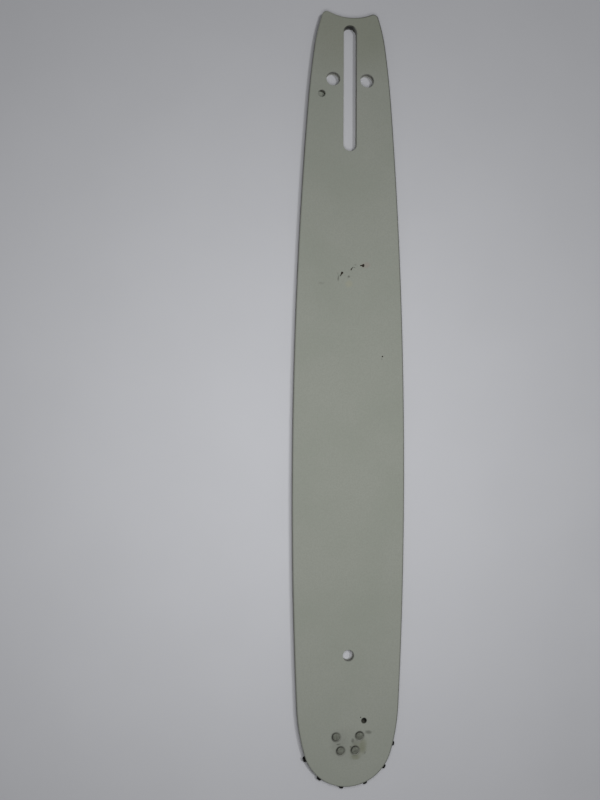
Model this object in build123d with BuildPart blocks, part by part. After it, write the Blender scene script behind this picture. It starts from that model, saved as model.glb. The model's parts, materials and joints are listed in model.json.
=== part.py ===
from build123d import *
import os
from math import asin, floor, pi, radians, sin, sqrt, tan

# Chainsaw guide bar with a roller nose, lying flat on its back face.
# X runs along the bar from the tail to the nose, Y across it and Z through its thickness.
# The origin is the middle of the stud slot, on the back face.
# Sizes are in millimetres and angles in degrees.

# Outline of the rails
slot_to_nose_axis = 399.4  # working length, from the slot's middle to the sprocket's axis
bar_width = 69.2  # across the belly
belly_from_nose_axis = 160.0  # where the bar is widest
nose_radius = 27.5  # rail round the sprocket
neck_from_nose_axis = 20.0  # where each rail starts to bend in to the nose
neck_fullness = 0.514  # how far out the rail is there: 0 on the nose circle, 1 level with the belly
shoulder_width = 52.4  # where the rails start to draw in to the tail
shoulder_from_slot = 11.4
hip_behind_slot = 26.2  # where each rail bends in more sharply to its horn
hip_fullness = 0.59  # how far out the rail is there: 0 level with the horn's corner, 1 with the shoulder
tail_width = 33.1  # across the horns, before their corners are rounded
tail_hollow_radius = 32.2  # hollow end that clears the drive sprocket
tail_corner_radius = 3.2
tail_wall = 5.2  # metal between the slot and the hollow

# Laminated section: two side plates spot welded to a narrower core
side_plate_thickness = 1.4
groove_width = 1.5  # chain gauge, which is the core's thickness
groove_depth = 7.0  # from the rails down to the core
rail_edge_chamfer = 0.25

# Openings at the tail, and the hanging hole
slot_length = 79.0
slot_width = 8.4
adjuster_hole_diameter = 8.6
adjuster_hole_spacing = 21.4
adjuster_holes_behind_slot = 5.5  # behind the slot's middle
oil_hole_diameter = 4.4
oil_hole_from_axis = 17.8
oil_hole_ahead_of_slot = 4.2  # ahead of the slot's middle
hanging_hole_diameter = 6.7
hanging_hole_from_nose_axis = 50.6

# Nose sprocket and its cageless roller bearing
sprocket_teeth = 12
sprocket_rest_turn = -7.5  # angle of the tooth nearest to the nose's tip
tooth_rise = 1.7  # tooth tips above the rail
tooth_tip_width = 2.2
tooth_tip_round = 0.8
gullet_radius = 4.2
gullet_depth = 6.2  # from the rail down to the bottom of a gullet
sprocket_ring_wall = 4.2  # between the gullets and the roller track
sprocket_side_clearance = 0.1  # to each side plate
sprocket_pocket_clearance = 1.0  # from the tooth tips to the core
roller_diameter = 4.0
roller_gap = 0.05  # least space between neighbouring rollers
bearing_clearance = 0.05  # rollers to hub, and rollers to sprocket
grease_hole_diameter = 3.0
grease_hole_angle = 139.2  # round the sprocket's axis, from the nose direction

# Nose rivets: a ring of five places with the tail-side one left empty
rivet_places = 5
rivet_count = 4
rivet_edge = 5.47  # from the hub's rim to a rivet's centre
rivet_shank_radius = 2.3
rivet_head_radius = 2.7  # of its countersink at the plates' faces
rivet_sink = 0.1  # set heads lie this far below the plates' faces
rivet_clearance = 0.03
countersink_angle = 90.0

# Heights of the layers
core_floor = side_plate_thickness
front_floor = core_floor + groove_width
bar_thickness = front_floor + side_plate_thickness

# Points of the outline
nose_axis = Vector(slot_to_nose_axis, 0)
nose_tip = nose_axis + Vector(nose_radius, 0)
belly = nose_axis + Vector(-belly_from_nose_axis, bar_width / 2)
neck_half_width = nose_radius + neck_fullness * (bar_width / 2 - nose_radius)
neck = nose_axis + Vector(-neck_from_nose_axis, neck_half_width)
shoulder = Vector(shoulder_from_slot, shoulder_width / 2)
hip_half_width = (tail_width + hip_fullness * (shoulder_width - tail_width)) / 2
hip = Vector(-hip_behind_slot, hip_half_width)
hollow_bottom = Vector(-slot_length / 2 - tail_wall, 0)
hollow_sag = tail_hollow_radius - sqrt(tail_hollow_radius**2 - (tail_width / 2) ** 2)
tail_corner = hollow_bottom + Vector(-hollow_sag, tail_width / 2)

# Places of the holes
adjuster_holes = Vector(-adjuster_holes_behind_slot, 0)
oil_hole = Vector(oil_hole_ahead_of_slot, -oil_hole_from_axis)
hanging_hole = nose_axis - Vector(hanging_hole_from_nose_axis, 0)

# Radii of the nose bearing, from the core's pocket inwards
tip_radius = nose_radius + tooth_rise
pocket_radius = tip_radius + sprocket_pocket_clearance
root_radius = nose_radius - gullet_depth
sprocket_bore = root_radius - sprocket_ring_wall
track_radius = sprocket_bore - bearing_clearance - roller_diameter / 2
hub_radius = track_radius - roller_diameter / 2 - bearing_clearance
running_floor = core_floor + sprocket_side_clearance
running_width = groove_width - 2 * sprocket_side_clearance
roller_count = floor(pi / asin((roller_diameter + roller_gap) / (2 * track_radius)))
grease_hole = nose_axis + Vector(track_radius, 0).rotate(Axis.Z, grease_hole_angle)

# Mouth of a gullet, between two neighbouring tooth tips
half_tooth_angle = 180 / sprocket_teeth
mouth_width = 2 * tip_radius * sin(radians(half_tooth_angle)) - tooth_tip_width
mouth_x = sqrt(tip_radius**2 - (mouth_width / 2) ** 2)

# Ring of rivets, even about the nose direction
rivet_circle = hub_radius - rivet_edge
rivet_step = 360 / rivet_places
rivet_first_angle = -rivet_step * (rivet_count - 1) / 2
rivet_hole_radius = rivet_shank_radius + rivet_clearance
countersink_slope = tan(radians(countersink_angle / 2))
rivet_cone_depth = (rivet_head_radius - rivet_shank_radius) / countersink_slope
rivet_face_radius = rivet_head_radius - rivet_sink * countersink_slope


def nose_tangent_point(start, heading):
    """Point where an arc that leaves start along heading runs into the nose circle."""
    inward = heading.rotate(Axis.Z, -90)
    reach = start - nose_axis
    radius = (nose_radius**2 - reach.dot(reach)) / (2 * (reach.dot(inward) + nose_radius))
    centre = start + inward * radius
    return nose_axis + (nose_axis - centre).normalized() * nose_radius


def rivet_ring():
    """Places of the rivets, round the middle of the ring."""
    return PolarLocations(rivet_circle, rivet_count, rivet_first_angle, rivet_count * rivet_step)


def save(piece, name):
    """Label a finished piece and write it to its own file."""
    piece.part.label = name
    export_step(piece.part, f"parts/{name}.step")


os.makedirs("parts", exist_ok=True)

# One rail, from the tail's corner over the belly to the nose's tip
with BuildLine() as rail:
    rear_flank = TangentArc(belly, shoulder, tangent=(-1, 0))
    hip_flank = TangentArc(shoulder, hip, tangent=rear_flank % 1)
    TangentArc(hip, tail_corner, tangent=hip_flank % 1)
    front_flank = TangentArc(belly, neck, tangent=(1, 0))
    nose_entry = nose_tangent_point(neck, front_flank % 1)
    nose_blend = TangentArc(neck, nose_entry, tangent=front_flank % 1)
    TangentArc(nose_entry, nose_tip, tangent=nose_blend % 1)

# Face of a side plate: both rails, closed by the hollow tail
with BuildSketch() as bar_outline:
    with BuildLine():
        add(rail.line)
        RadiusArc(tail_corner, hollow_bottom, tail_hollow_radius)
        Line(hollow_bottom, nose_tip)
    make_face()
    mirror(about=Plane.XZ)
    fillet(bar_outline.vertices().sort_by(Axis.X)[:2], tail_corner_radius)

# Floor of the chain groove: the rails moved inwards, and run on past the tail
with BuildSketch() as groove_floor:
    run_on = tail_corner - Vector(2 * groove_depth, 0)
    with BuildLine():
        add(rail.line)
        Polyline(tail_corner, run_on, (run_on.X, 0), nose_tip)
    make_face()
    mirror(about=Plane.XZ)
    offset(amount=-groove_depth)

# What passes through all three plates
with BuildSketch() as through_openings:
    SlotOverall(slot_length, slot_width)
    with Locations(adjuster_holes):
        with GridLocations(0, adjuster_hole_spacing, 1, 2):
            Circle(adjuster_hole_diameter / 2)
    with Locations(hanging_hole):
        Circle(hanging_hole_diameter / 2)

# Front side plate, with its oil hole, grease hole and countersunk rivet holes
with BuildPart() as side_plate_front:
    with BuildSketch(Plane.XY.offset(front_floor)):
        add(bar_outline.sketch)
    extrude(amount=side_plate_thickness)
    front_face = side_plate_front.faces().sort_by(Axis.Z)[-1]
    chamfer(front_face.outer_wire().edges(), rail_edge_chamfer)
    with BuildSketch(Plane.XY.offset(front_floor)):
        add(through_openings.sketch)
        with Locations(oil_hole):
            Circle(oil_hole_diameter / 2)
        with Locations(grease_hole):
            Circle(grease_hole_diameter / 2)
    extrude(amount=side_plate_thickness, mode=Mode.SUBTRACT)
    with Locations(nose_axis + Vector(0, 0, bar_thickness)):
        with rivet_ring():
            CounterSinkHole(
                rivet_hole_radius,
                rivet_head_radius + rivet_clearance,
                counter_sink_angle=countersink_angle,
            )
save(side_plate_front, "side_plate_front")

# Back side plate: the same piece turned over about the bar's length
with BuildPart() as side_plate_back:
    with Locations(Location((0, 0, bar_thickness), (180, 0, 0))):
        add(side_plate_front.part)
save(side_plate_back, "side_plate_back")

# Core plate, cut back round the sprocket and notched from each oil hole to the groove
with BuildPart() as core_plate:
    with BuildSketch(Plane.XY.offset(core_floor)):
        add(groove_floor.sketch)
        add(bar_outline.sketch, mode=Mode.INTERSECT)
        add(through_openings.sketch, mode=Mode.SUBTRACT)
        with Locations(nose_axis):
            Circle(pocket_radius, mode=Mode.SUBTRACT)
        with Locations(oil_hole, Location((oil_hole.X, -oil_hole.Y), 180)):
            Circle(oil_hole_diameter / 2, mode=Mode.SUBTRACT)
            Rectangle(
                oil_hole_diameter,
                bar_width / 2,
                align=(Align.CENTER, Align.MAX),
                mode=Mode.SUBTRACT,
            )
    extrude(amount=groove_width)
save(core_plate, "core_plate")

# Space between two teeth: a round gullet that opens out to the tooth tips
with BuildSketch() as gullet:
    with Locations((root_radius + gullet_radius, 0)):
        Circle(gullet_radius)
    with Locations((mouth_x, 0)):
        Rectangle(tip_radius, mouth_width, align=(Align.MIN, Align.CENTER))
    make_hull()

# Nose sprocket
with BuildPart() as nose_sprocket:
    with BuildSketch(Plane.XY.offset(running_floor)) as sprocket_outline:
        with Locations(nose_axis):
            Circle(tip_radius)
            with PolarLocations(0, sprocket_teeth, sprocket_rest_turn + half_tooth_angle):
                add(gullet.sketch, mode=Mode.SUBTRACT)
            tips = sprocket_outline.vertices().sort_by_distance(nose_axis)[-2 * sprocket_teeth :]
            fillet(tips, tooth_tip_round)
            Circle(sprocket_bore, mode=Mode.SUBTRACT)
    extrude(amount=running_width)
save(nose_sprocket, "nose_sprocket")

# Bearing hub, clamped between the side plates by the rivets
with BuildPart() as bearing_hub:
    with BuildSketch(Plane.XY.offset(core_floor)):
        with Locations(nose_axis):
            Circle(hub_radius)
            with rivet_ring():
                Circle(rivet_hole_radius, mode=Mode.SUBTRACT)
    extrude(amount=groove_width)
save(bearing_hub, "bearing_hub")

# Rollers, a full ring with no cage
for index in range(roller_count):
    spoke = Vector(track_radius, 0, running_floor).rotate(Axis.Z, index * 360 / roller_count)
    with BuildPart() as roller:
        with BuildSketch(Plane(nose_axis + spoke)):
            Circle(roller_diameter / 2)
        extrude(amount=running_width)
    save(roller, f"roller_{index + 1:02d}")

# Half section of a set rivet: a shank with a flat head sunk in each countersink
with BuildSketch(Plane.XZ) as rivet_section:
    with BuildLine():
        Polyline(
            (0, rivet_sink),
            (rivet_face_radius, rivet_sink),
            (rivet_shank_radius, rivet_cone_depth),
            (rivet_shank_radius, bar_thickness - rivet_cone_depth),
            (rivet_face_radius, bar_thickness - rivet_sink),
            (0, bar_thickness - rivet_sink),
            close=True,
        )
    make_face()

# Nose rivets
with BuildPart() as nose_rivets:
    with Locations(nose_axis):
        with rivet_ring():
            add(revolve(rivet_section.sketch, Axis.Z, mode=Mode.PRIVATE))
save(nose_rivets, "nose_rivets")
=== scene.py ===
"""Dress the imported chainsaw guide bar: blasted side plates, set rivets, greasy nose and a little dirt.

The bar lies on its back face. X runs from the tail to the nose, Y across the bar, Z out of the front face.
Sizes are in millimetres. A point in the bar's plane is a complex number, along + 1j * across.
"""

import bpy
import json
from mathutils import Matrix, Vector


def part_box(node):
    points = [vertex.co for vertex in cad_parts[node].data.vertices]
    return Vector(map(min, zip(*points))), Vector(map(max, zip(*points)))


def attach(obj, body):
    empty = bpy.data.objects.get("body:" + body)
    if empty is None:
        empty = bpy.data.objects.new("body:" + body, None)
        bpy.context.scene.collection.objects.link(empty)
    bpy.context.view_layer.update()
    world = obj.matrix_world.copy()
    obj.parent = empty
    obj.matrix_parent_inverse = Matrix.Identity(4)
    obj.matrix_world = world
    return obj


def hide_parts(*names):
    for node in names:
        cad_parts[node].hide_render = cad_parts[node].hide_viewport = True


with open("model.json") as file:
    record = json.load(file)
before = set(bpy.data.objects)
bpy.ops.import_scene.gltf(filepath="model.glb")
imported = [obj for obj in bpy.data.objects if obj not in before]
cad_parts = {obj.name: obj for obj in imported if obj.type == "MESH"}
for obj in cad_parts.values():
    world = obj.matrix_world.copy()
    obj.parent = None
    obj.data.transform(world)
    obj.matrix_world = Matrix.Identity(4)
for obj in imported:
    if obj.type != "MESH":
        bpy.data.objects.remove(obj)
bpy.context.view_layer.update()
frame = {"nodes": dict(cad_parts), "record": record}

import json
import logging
import math
from abc import ABC, abstractmethod
from collections.abc import Mapping, Sequence
from dataclasses import astuple, dataclass, replace
from enum import Enum

import bpy
import numpy as np
from bpy.types import Material, Node, NodeSocket, NodeTree, Object, World
from mathutils import Matrix, Vector
from mathutils.geometry import delaunay_2d_cdt

MM = 0.001
BAR_BODY = "bar"
SHARE, UNDER, OVER, MIXED = 0, 6, 7, 2  # sockets of a Mix node that lays one colour over another
NOISE_MIDDLE = 0.5  # what a noise pattern's values lie about

log = logging.getLogger("guide_bar")


class Slot(Enum):
    """Material slots of the record."""

    PLATE = "plate_finish"
    CORE = "core_steel"
    SPROCKET = "sprocket_steel"
    BEARING = "bearing_steel"
    RIVET = "rivet_steel"


class Side(Enum):
    """The two outer faces of the bar, by the CAD node that each side plate stands for."""

    FRONT = "side_plate_front"
    BACK = "side_plate_back"


class Stain(Enum):
    """Colours of what has soaked into or dried on the plates."""

    OIL = "#5f6141"
    SOOT = "#3d3e38"
    RUST = "#8c7470"
    CLAY = "#9a977f"


def linear(code: str) -> tuple[float, float, float, float]:
    """Turn an sRGB hex colour to linear light, by sRGB's own curve of a straight toe and a power of 2.4.

    Args:
        code: The colour, such as "#8e9289".

    Returns:
        Red, green, blue and an alpha of one.
    """
    srgb = np.array([int(code[i : i + 2], 16) for i in (1, 3, 5)]) / 255
    light = np.where(srgb <= 0.04045, srgb / 12.92, ((srgb + 0.055) / 1.055) ** 2.4)
    return (*light.tolist(), 1.0)


def add_node(
    tree: NodeTree, kind: str, inputs: Mapping[str | int, object] | None = None, **settings: object
) -> Node:
    """Add one shader node with its settings, input values and links.

    Args:
        tree: The node tree that takes it.
        kind: The node's type name, without the "ShaderNode" that all of them start with.
        inputs: A value, or a socket to link from, for each named or numbered input.
        **settings: Properties of the node itself.

    Returns:
        The new node.
    """
    node = tree.nodes.new(f"ShaderNode{kind}")
    for name, setting in settings.items():
        setattr(node, name, setting)
    for socket, value in (inputs or {}).items():
        if isinstance(value, NodeSocket):
            tree.links.new(value, node.inputs[socket])
        else:
            node.inputs[socket].default_value = value
    return node


def seen_or_mirrored(tree: NodeTree) -> NodeSocket:
    """Tell the camera's and mirrors' sight of a surface from the light that it throws.

    Args:
        tree: The node tree that asks.

    Returns:
        One where the surface is seen or mirrored, and zero where it lights the scene.
    """
    ray = add_node(tree, "LightPath")
    kinds = {0: ray.outputs["Is Camera Ray"], 1: ray.outputs["Is Glossy Ray"]}
    return add_node(tree, "Math", kinds, operation="MAXIMUM").outputs[0]


def new_piece(
    name: str,
    vertices: np.ndarray,
    faces: Sequence[np.ndarray],
    smooth: Sequence[bool],
    attributes: Mapping[str, np.ndarray] | None = None,
) -> Object:
    """Put worked-out arrays into a mesh object at the origin.

    Args:
        name: The piece's name.
        vertices: Corner points in millimetres, one row each.
        faces: Arrays of corner numbers, one array for each kind of face.
        smooth: For each of those arrays, whether its faces shade as one curved surface.
        attributes: Values at the vertices that the finish reads, by name.

    Returns:
        The new object.
    """
    mesh = bpy.data.meshes.new(name)
    corner_numbers = [corners for block in faces for corners in block.tolist()]
    mesh.from_pydata((vertices * MM).tolist(), [], corner_numbers)
    mesh.polygons.foreach_set("use_smooth", np.repeat(list(smooth), [len(block) for block in faces]))
    for key, values in (attributes or {}).items():
        mesh.attributes.new(key, "FLOAT", "POINT").data.foreach_set("value", values.astype(np.float32))
    piece = bpy.data.objects.new(name, mesh)
    bpy.context.scene.collection.objects.link(piece)
    return piece


def ring_quads(rings: int, following: np.ndarray) -> np.ndarray:
    """Join rings of points, each below the one before, with quads.

    Args:
        rings: How many there are.
        following: For each point of a ring, the number of the next one round it.

    Returns:
        Corner numbers, by gap between rings, by place round the ring, by four.
    """
    count = len(following)
    here = np.arange(count)
    row = np.arange(rings - 1)[:, None] * count
    below = row + count
    return np.stack([row + here, below + here, below + following, row + following], axis=-1)


def closed_lathe(profile: np.ndarray, count: int) -> tuple[np.ndarray, np.ndarray, np.ndarray]:
    """Turn a profile about Z into a closed surface.

    The surface is (r(t) cos a, r(t) sin a, z(t)). Both ends of the profile lie on the axis,
    where each is one vertex with a fan of triangles.

    Args:
        profile: Rows of radius and height, from the upper pole to the lower one.
        count: Steps of the angle a round the axis.

    Returns:
        The vertices, the triangles at the poles and the quads between them.
    """
    angle = np.arange(count) * 2 * np.pi / count
    radius, height = profile[1:-1].T
    x, y = np.outer(radius, np.cos(angle)), np.outer(radius, np.sin(angle))
    rings = np.stack([x, y, np.outer(height, np.ones(count))], axis=-1)
    poles = np.array([[0, 0, profile[0, 1]], [0, 0, profile[-1, 1]]])
    vertices = np.concatenate([rings.reshape(-1, 3), poles])
    here = np.arange(count)
    following = np.roll(here, -1)
    top, bottom = len(vertices) - 2, len(vertices) - 1
    last = (len(radius) - 1) * count
    top_fan = np.stack([np.full(count, top), here, following], axis=1)
    bottom_fan = np.stack([np.full(count, bottom), last + following, last + here], axis=1)
    quads = ring_quads(len(radius), following).reshape(-1, 4)
    return vertices, np.concatenate([top_fan, bottom_fan]), quads


def repeated(vertices: np.ndarray, faces: Sequence[np.ndarray]) -> tuple[np.ndarray, list[np.ndarray]]:
    """Number the faces of several copies of one shape.

    Args:
        vertices: Copies by corners by three.
        faces: The faces of one copy.

    Returns:
        All corners in one list, and the faces of every copy.
    """
    copies, corners = vertices.shape[:2]
    step = np.arange(copies)[:, None, None] * corners
    return vertices.reshape(-1, 3), [(block + step).reshape(-1, block.shape[1]) for block in faces]


@dataclass(frozen=True)
class Blot:
    """A soaked or smeared patch on a plate: where its middle is, its half sizes, and how it is turned."""

    stain: Stain
    along: float
    across: float
    half_length: float
    half_width: float
    strength: float
    turn: float = 0.0


@dataclass(frozen=True)
class Finish(ABC):
    """What every finish has: the real surface's name, how metallic and rough it is, and how much it shines.

    In each finish, a pattern's span is the pair of its values between which it goes from none to all.
    """

    name: str
    metallic: float
    roughness: float
    shine: float = 0.5

    def material(self) -> Material:
        """Make this finish's material, or find it where it was made before.

        Returns:
            The material.
        """
        made = bpy.data.materials.get(self.name)
        if made is not None:
            return made
        material = bpy.data.materials.new(self.name)
        material.use_nodes = True
        tree = material.node_tree
        shader = tree.nodes["Principled BSDF"]
        shader.inputs["Metallic"].default_value = self.metallic
        shader.inputs["Roughness"].default_value = self.roughness
        shader.inputs["Specular IOR Level"].default_value = self.shine
        metres = add_node(tree, "TexCoord").outputs["Object"]
        place = add_node(tree, "VectorMath", {0: metres, "Scale": 1 / MM}, operation="SCALE")
        self.dress(tree, shader, place.outputs[0])
        return material

    @abstractmethod
    def dress(self, tree: NodeTree, shader: Node, place: NodeSocket) -> None:
        """Link this finish's patterns to the shader.

        Args:
            tree: The material's nodes.
            shader: Its Principled shader.
            place: Object coordinates in millimetres.
        """


@dataclass(frozen=True)
class BlastedSheet(Finish):
    """Sheet steel, shot-blasted and phosphated: a matte greenish grey with a fine grit and soft clouds.

    Its punched and ground edges are bare and oily, and dark dirt mixed with painted shade sits along them.
    """

    blots: tuple[Blot, ...] = ()
    blot_span: tuple[float, float] = (1.25, 0.35)  # of a blot's half sizes
    blot_depth: float = 1000.0  # far more than a sheet, so a blot goes right through it
    wobble_mm: float = 2.6
    wobble_shift: float = 1.6  # how far, from side to side, it shakes a blot's outline
    face: str = "#8e9189"
    cloud: str = "#8a8e85"
    cloud_mm: float = 38.0
    cloud_span: tuple[float, float] = (0.38, 0.66)
    grit: str = "#868981"
    grit_mm: float = 0.9  # blasting leaves about 0.2 mm; drawn coarser so that it shows
    grit_span: tuple[float, float] = (0.35, 0.75)
    grit_share: float = 0.5
    sheen_span: tuple[float, float] = (0.3, 0.7)
    sheen_swing: float = 0.06  # of the roughness, either way
    relief: float = 0.06
    relief_strength: float = 0.35
    edge: str = "#aeafa8"
    scored: str = "#989992"
    bare_span: tuple[float, float] = (0.02, 0.14)  # depth below the face
    polish: float = 0.16  # how much less rough the bare edge is
    grind_mm: tuple[float, float] = (14.0, 0.16)  # grinding marks, along an edge and through the sheet
    # Dark colour for oily dirt and painted shade along the edges, in the holes and round the rivet seats
    grime: str = "#1e1e19"
    grime_and_shade_span: tuple[float, float] = (0.3, 0.6)
    grime_and_shade_least: float = 0.85

    def dress(self, tree: NodeTree, shader: Node, place: NodeSocket) -> None:
        """Link clouds, grit, stains, bare edges, and dark dirt mixed with painted shade to the shader.

        Args:
            tree: The material's nodes.
            shader: Its Principled shader.
            place: Object coordinates in millimetres.
        """
        grit = add_node(tree, "TexNoise", {"Vector": place, "Scale": 1 / self.grit_mm, "Detail": 2.0})
        wobble = add_node(tree, "TexNoise", {"Vector": place, "Scale": 1 / self.wobble_mm, "Detail": 3.0})
        depth = add_node(tree, "Attribute", attribute_name="depth_mm").outputs["Fac"]
        start, full = self.bare_span
        span = {"Value": depth, "From Min": start, "From Max": full}
        bare = add_node(tree, "MapRange", span).outputs[0]
        along, through = self.grind_mm
        stretch = {0: place, 1: (1 / along, 1 / along, 1 / through)}
        stretched = add_node(tree, "VectorMath", stretch, operation="MULTIPLY").outputs[0]
        ground = add_node(tree, "TexNoise", {"Vector": stretched, "Scale": 1.0, "Detail": 3.0})

        colour = self.clouded(tree, grit.outputs["Fac"], place)
        colour = self.stained(tree, colour, wobble.outputs["Color"], place)
        layers = {SHARE: ground.outputs["Fac"], UNDER: linear(self.scored), OVER: linear(self.edge)}
        edge = add_node(tree, "Mix", layers, data_type="RGBA").outputs[MIXED]
        layers = {SHARE: bare, UNDER: colour, OVER: edge}
        colour = add_node(tree, "Mix", layers, data_type="RGBA").outputs[MIXED]
        # Darkened by the edges' dirt and painted shade, which each piece marks per vertex
        grime_and_shade_mask = add_node(tree, "Attribute", attribute_name="grime").outputs["Fac"]
        start, full = self.grime_and_shade_span
        patchy = wobble.outputs["Fac"]
        span = {"Value": patchy, "From Min": start, "From Max": full, "To Min": self.grime_and_shade_least}
        uneven = add_node(tree, "MapRange", span).outputs[0]
        dirt_and_shade_share = add_node(tree, "Math", {0: grime_and_shade_mask, 1: uneven}, operation="MULTIPLY").outputs[0]
        layers = {SHARE: dirt_and_shade_share, UNDER: colour, OVER: linear(self.grime)}
        colour = add_node(tree, "Mix", layers, data_type="RGBA").outputs[MIXED]
        tree.links.new(colour, shader.inputs["Base Color"])

        start, full = self.sheen_span
        span = {
            "Value": grit.outputs["Fac"],
            "From Min": start,
            "From Max": full,
            "To Min": self.roughness - self.sheen_swing,
            "To Max": self.roughness + self.sheen_swing,
        }
        sheen = add_node(tree, "MapRange", span).outputs[0]
        polished = add_node(tree, "Math", {0: bare, 1: -self.polish, 2: sheen}, operation="MULTIPLY_ADD")
        tree.links.new(polished.outputs[0], shader.inputs["Roughness"])
        marks = {"Factor": bare, "A": grit.outputs["Fac"], "B": ground.outputs["Fac"]}
        height = add_node(tree, "Mix", marks, data_type="FLOAT").outputs[0]
        relief = {"Height": height, "Strength": self.relief_strength, "Distance": self.relief * MM}
        tree.links.new(add_node(tree, "Bump", relief).outputs[0], shader.inputs["Normal"])

    def clouded(self, tree: NodeTree, grit: NodeSocket, place: NodeSocket) -> NodeSocket:
        """Mix the clean face's colour from its clouds and its grit.

        Args:
            tree: The material's nodes.
            grit: The grit's pattern.
            place: Object coordinates in millimetres.

        Returns:
            The colour.
        """
        clouds = add_node(tree, "TexNoise", {"Vector": place, "Scale": 1 / self.cloud_mm, "Detail": 3.0})
        start, full = self.cloud_span
        span = {"Value": clouds.outputs["Fac"], "From Min": start, "From Max": full}
        cloudy = add_node(tree, "MapRange", span).outputs[0]
        layers = {SHARE: cloudy, UNDER: linear(self.face), OVER: linear(self.cloud)}
        colour = add_node(tree, "Mix", layers, data_type="RGBA").outputs[MIXED]
        start, full = self.grit_span
        span = {"Value": grit, "From Min": start, "From Max": full, "To Max": self.grit_share}
        gritty = add_node(tree, "MapRange", span).outputs[0]
        layers = {SHARE: gritty, UNDER: colour, OVER: linear(self.grit)}
        return add_node(tree, "Mix", layers, data_type="RGBA").outputs[MIXED]

    def stained(
        self, tree: NodeTree, colour: NodeSocket, wobble: NodeSocket, place: NodeSocket
    ) -> NodeSocket:
        """Lay the blots over the face's colour: soft ellipses whose outlines the wobble shakes.

        Args:
            tree: The material's nodes.
            colour: The clean face's colour.
            wobble: The wobble's pattern, as a colour.
            place: Object coordinates in millimetres.

        Returns:
            The stained colour.
        """
        middle = (NOISE_MIDDLE,) * 3
        shake = add_node(tree, "VectorMath", {0: wobble, 1: middle}, operation="SUBTRACT").outputs[0]
        shift = {0: shake, 1: (self.wobble_shift, self.wobble_shift, 0), 2: place}
        shaken = add_node(tree, "VectorMath", shift, operation="MULTIPLY_ADD").outputs[0]
        start, full = self.blot_span
        for blot in self.blots:
            ellipse = {
                "Vector": shaken,
                "Location": (blot.along, blot.across, 0),
                "Rotation": (0, 0, math.radians(blot.turn)),
                "Scale": (blot.half_length, blot.half_width, self.blot_depth),
            }
            patch = add_node(tree, "Mapping", ellipse, vector_type="TEXTURE").outputs[0]
            reach = add_node(tree, "VectorMath", {0: patch}, operation="LENGTH").outputs["Value"]
            span = {"Value": reach, "From Min": start, "From Max": full, "To Max": blot.strength}
            weight = add_node(tree, "MapRange", span, interpolation_type="SMOOTHSTEP").outputs[0]
            layers = {SHARE: weight, UNDER: colour, OVER: linear(blot.stain.value)}
            colour = add_node(tree, "Mix", layers, data_type="RGBA").outputs[MIXED]
        return colour


@dataclass(frozen=True)
class OilySteel(Finish):
    """Bare or blackened steel under a film of oil: a dark metal whose gloss comes and goes with it."""

    clean: str = "#5a5a54"
    oily: str = "#34342f"
    # Near black where a piece marks it: on the grease plug, a painted shadow of the hole's wall
    grime: str = "#060605"
    film_mm: float = 6.0
    film_span: tuple[float, float] = (0.4, 0.62)
    gloss_swing: float = 0.1  # of the roughness, either way
    grain_mm: float = 0.5  # rolling leaves about 0.1 mm; drawn coarser so that it shows
    relief: float = 0.03
    relief_strength: float = 0.3

    def dress(self, tree: NodeTree, shader: Node, place: NodeSocket) -> None:
        """Link the film of oil, the darkening that a piece marks (on the grease plug a painted shadow) and
        the steel's grain to the shader.

        Args:
            tree: The material's nodes.
            shader: Its Principled shader.
            place: Object coordinates in millimetres.
        """
        film = add_node(tree, "TexNoise", {"Vector": place, "Scale": 1 / self.film_mm, "Detail": 4.0})
        start, full = self.film_span
        span = {"Value": film.outputs["Fac"], "From Min": start, "From Max": full}
        wet = add_node(tree, "MapRange", span).outputs[0]
        layers = {SHARE: wet, UNDER: linear(self.clean), OVER: linear(self.oily)}
        colour = add_node(tree, "Mix", layers, data_type="RGBA").outputs[MIXED]
        # Painted shadow where the piece marks it, as on the grease plug
        grime_and_shade_mask = add_node(tree, "Attribute", attribute_name="grime").outputs["Fac"]
        layers = {SHARE: grime_and_shade_mask, UNDER: colour, OVER: linear(self.grime)}
        colour = add_node(tree, "Mix", layers, data_type="RGBA").outputs[MIXED]
        tree.links.new(colour, shader.inputs["Base Color"])
        dry, glossy = self.roughness + self.gloss_swing, self.roughness - self.gloss_swing
        gloss = add_node(tree, "MapRange", {"Value": wet, "To Min": dry, "To Max": glossy})
        tree.links.new(gloss.outputs[0], shader.inputs["Roughness"])
        grain = add_node(tree, "TexNoise", {"Vector": place, "Scale": 1 / self.grain_mm, "Detail": 2.0})
        height = grain.outputs["Fac"]
        relief = {"Height": height, "Strength": self.relief_strength, "Distance": self.relief * MM}
        tree.links.new(add_node(tree, "Bump", relief).outputs[0], shader.inputs["Normal"])


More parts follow.
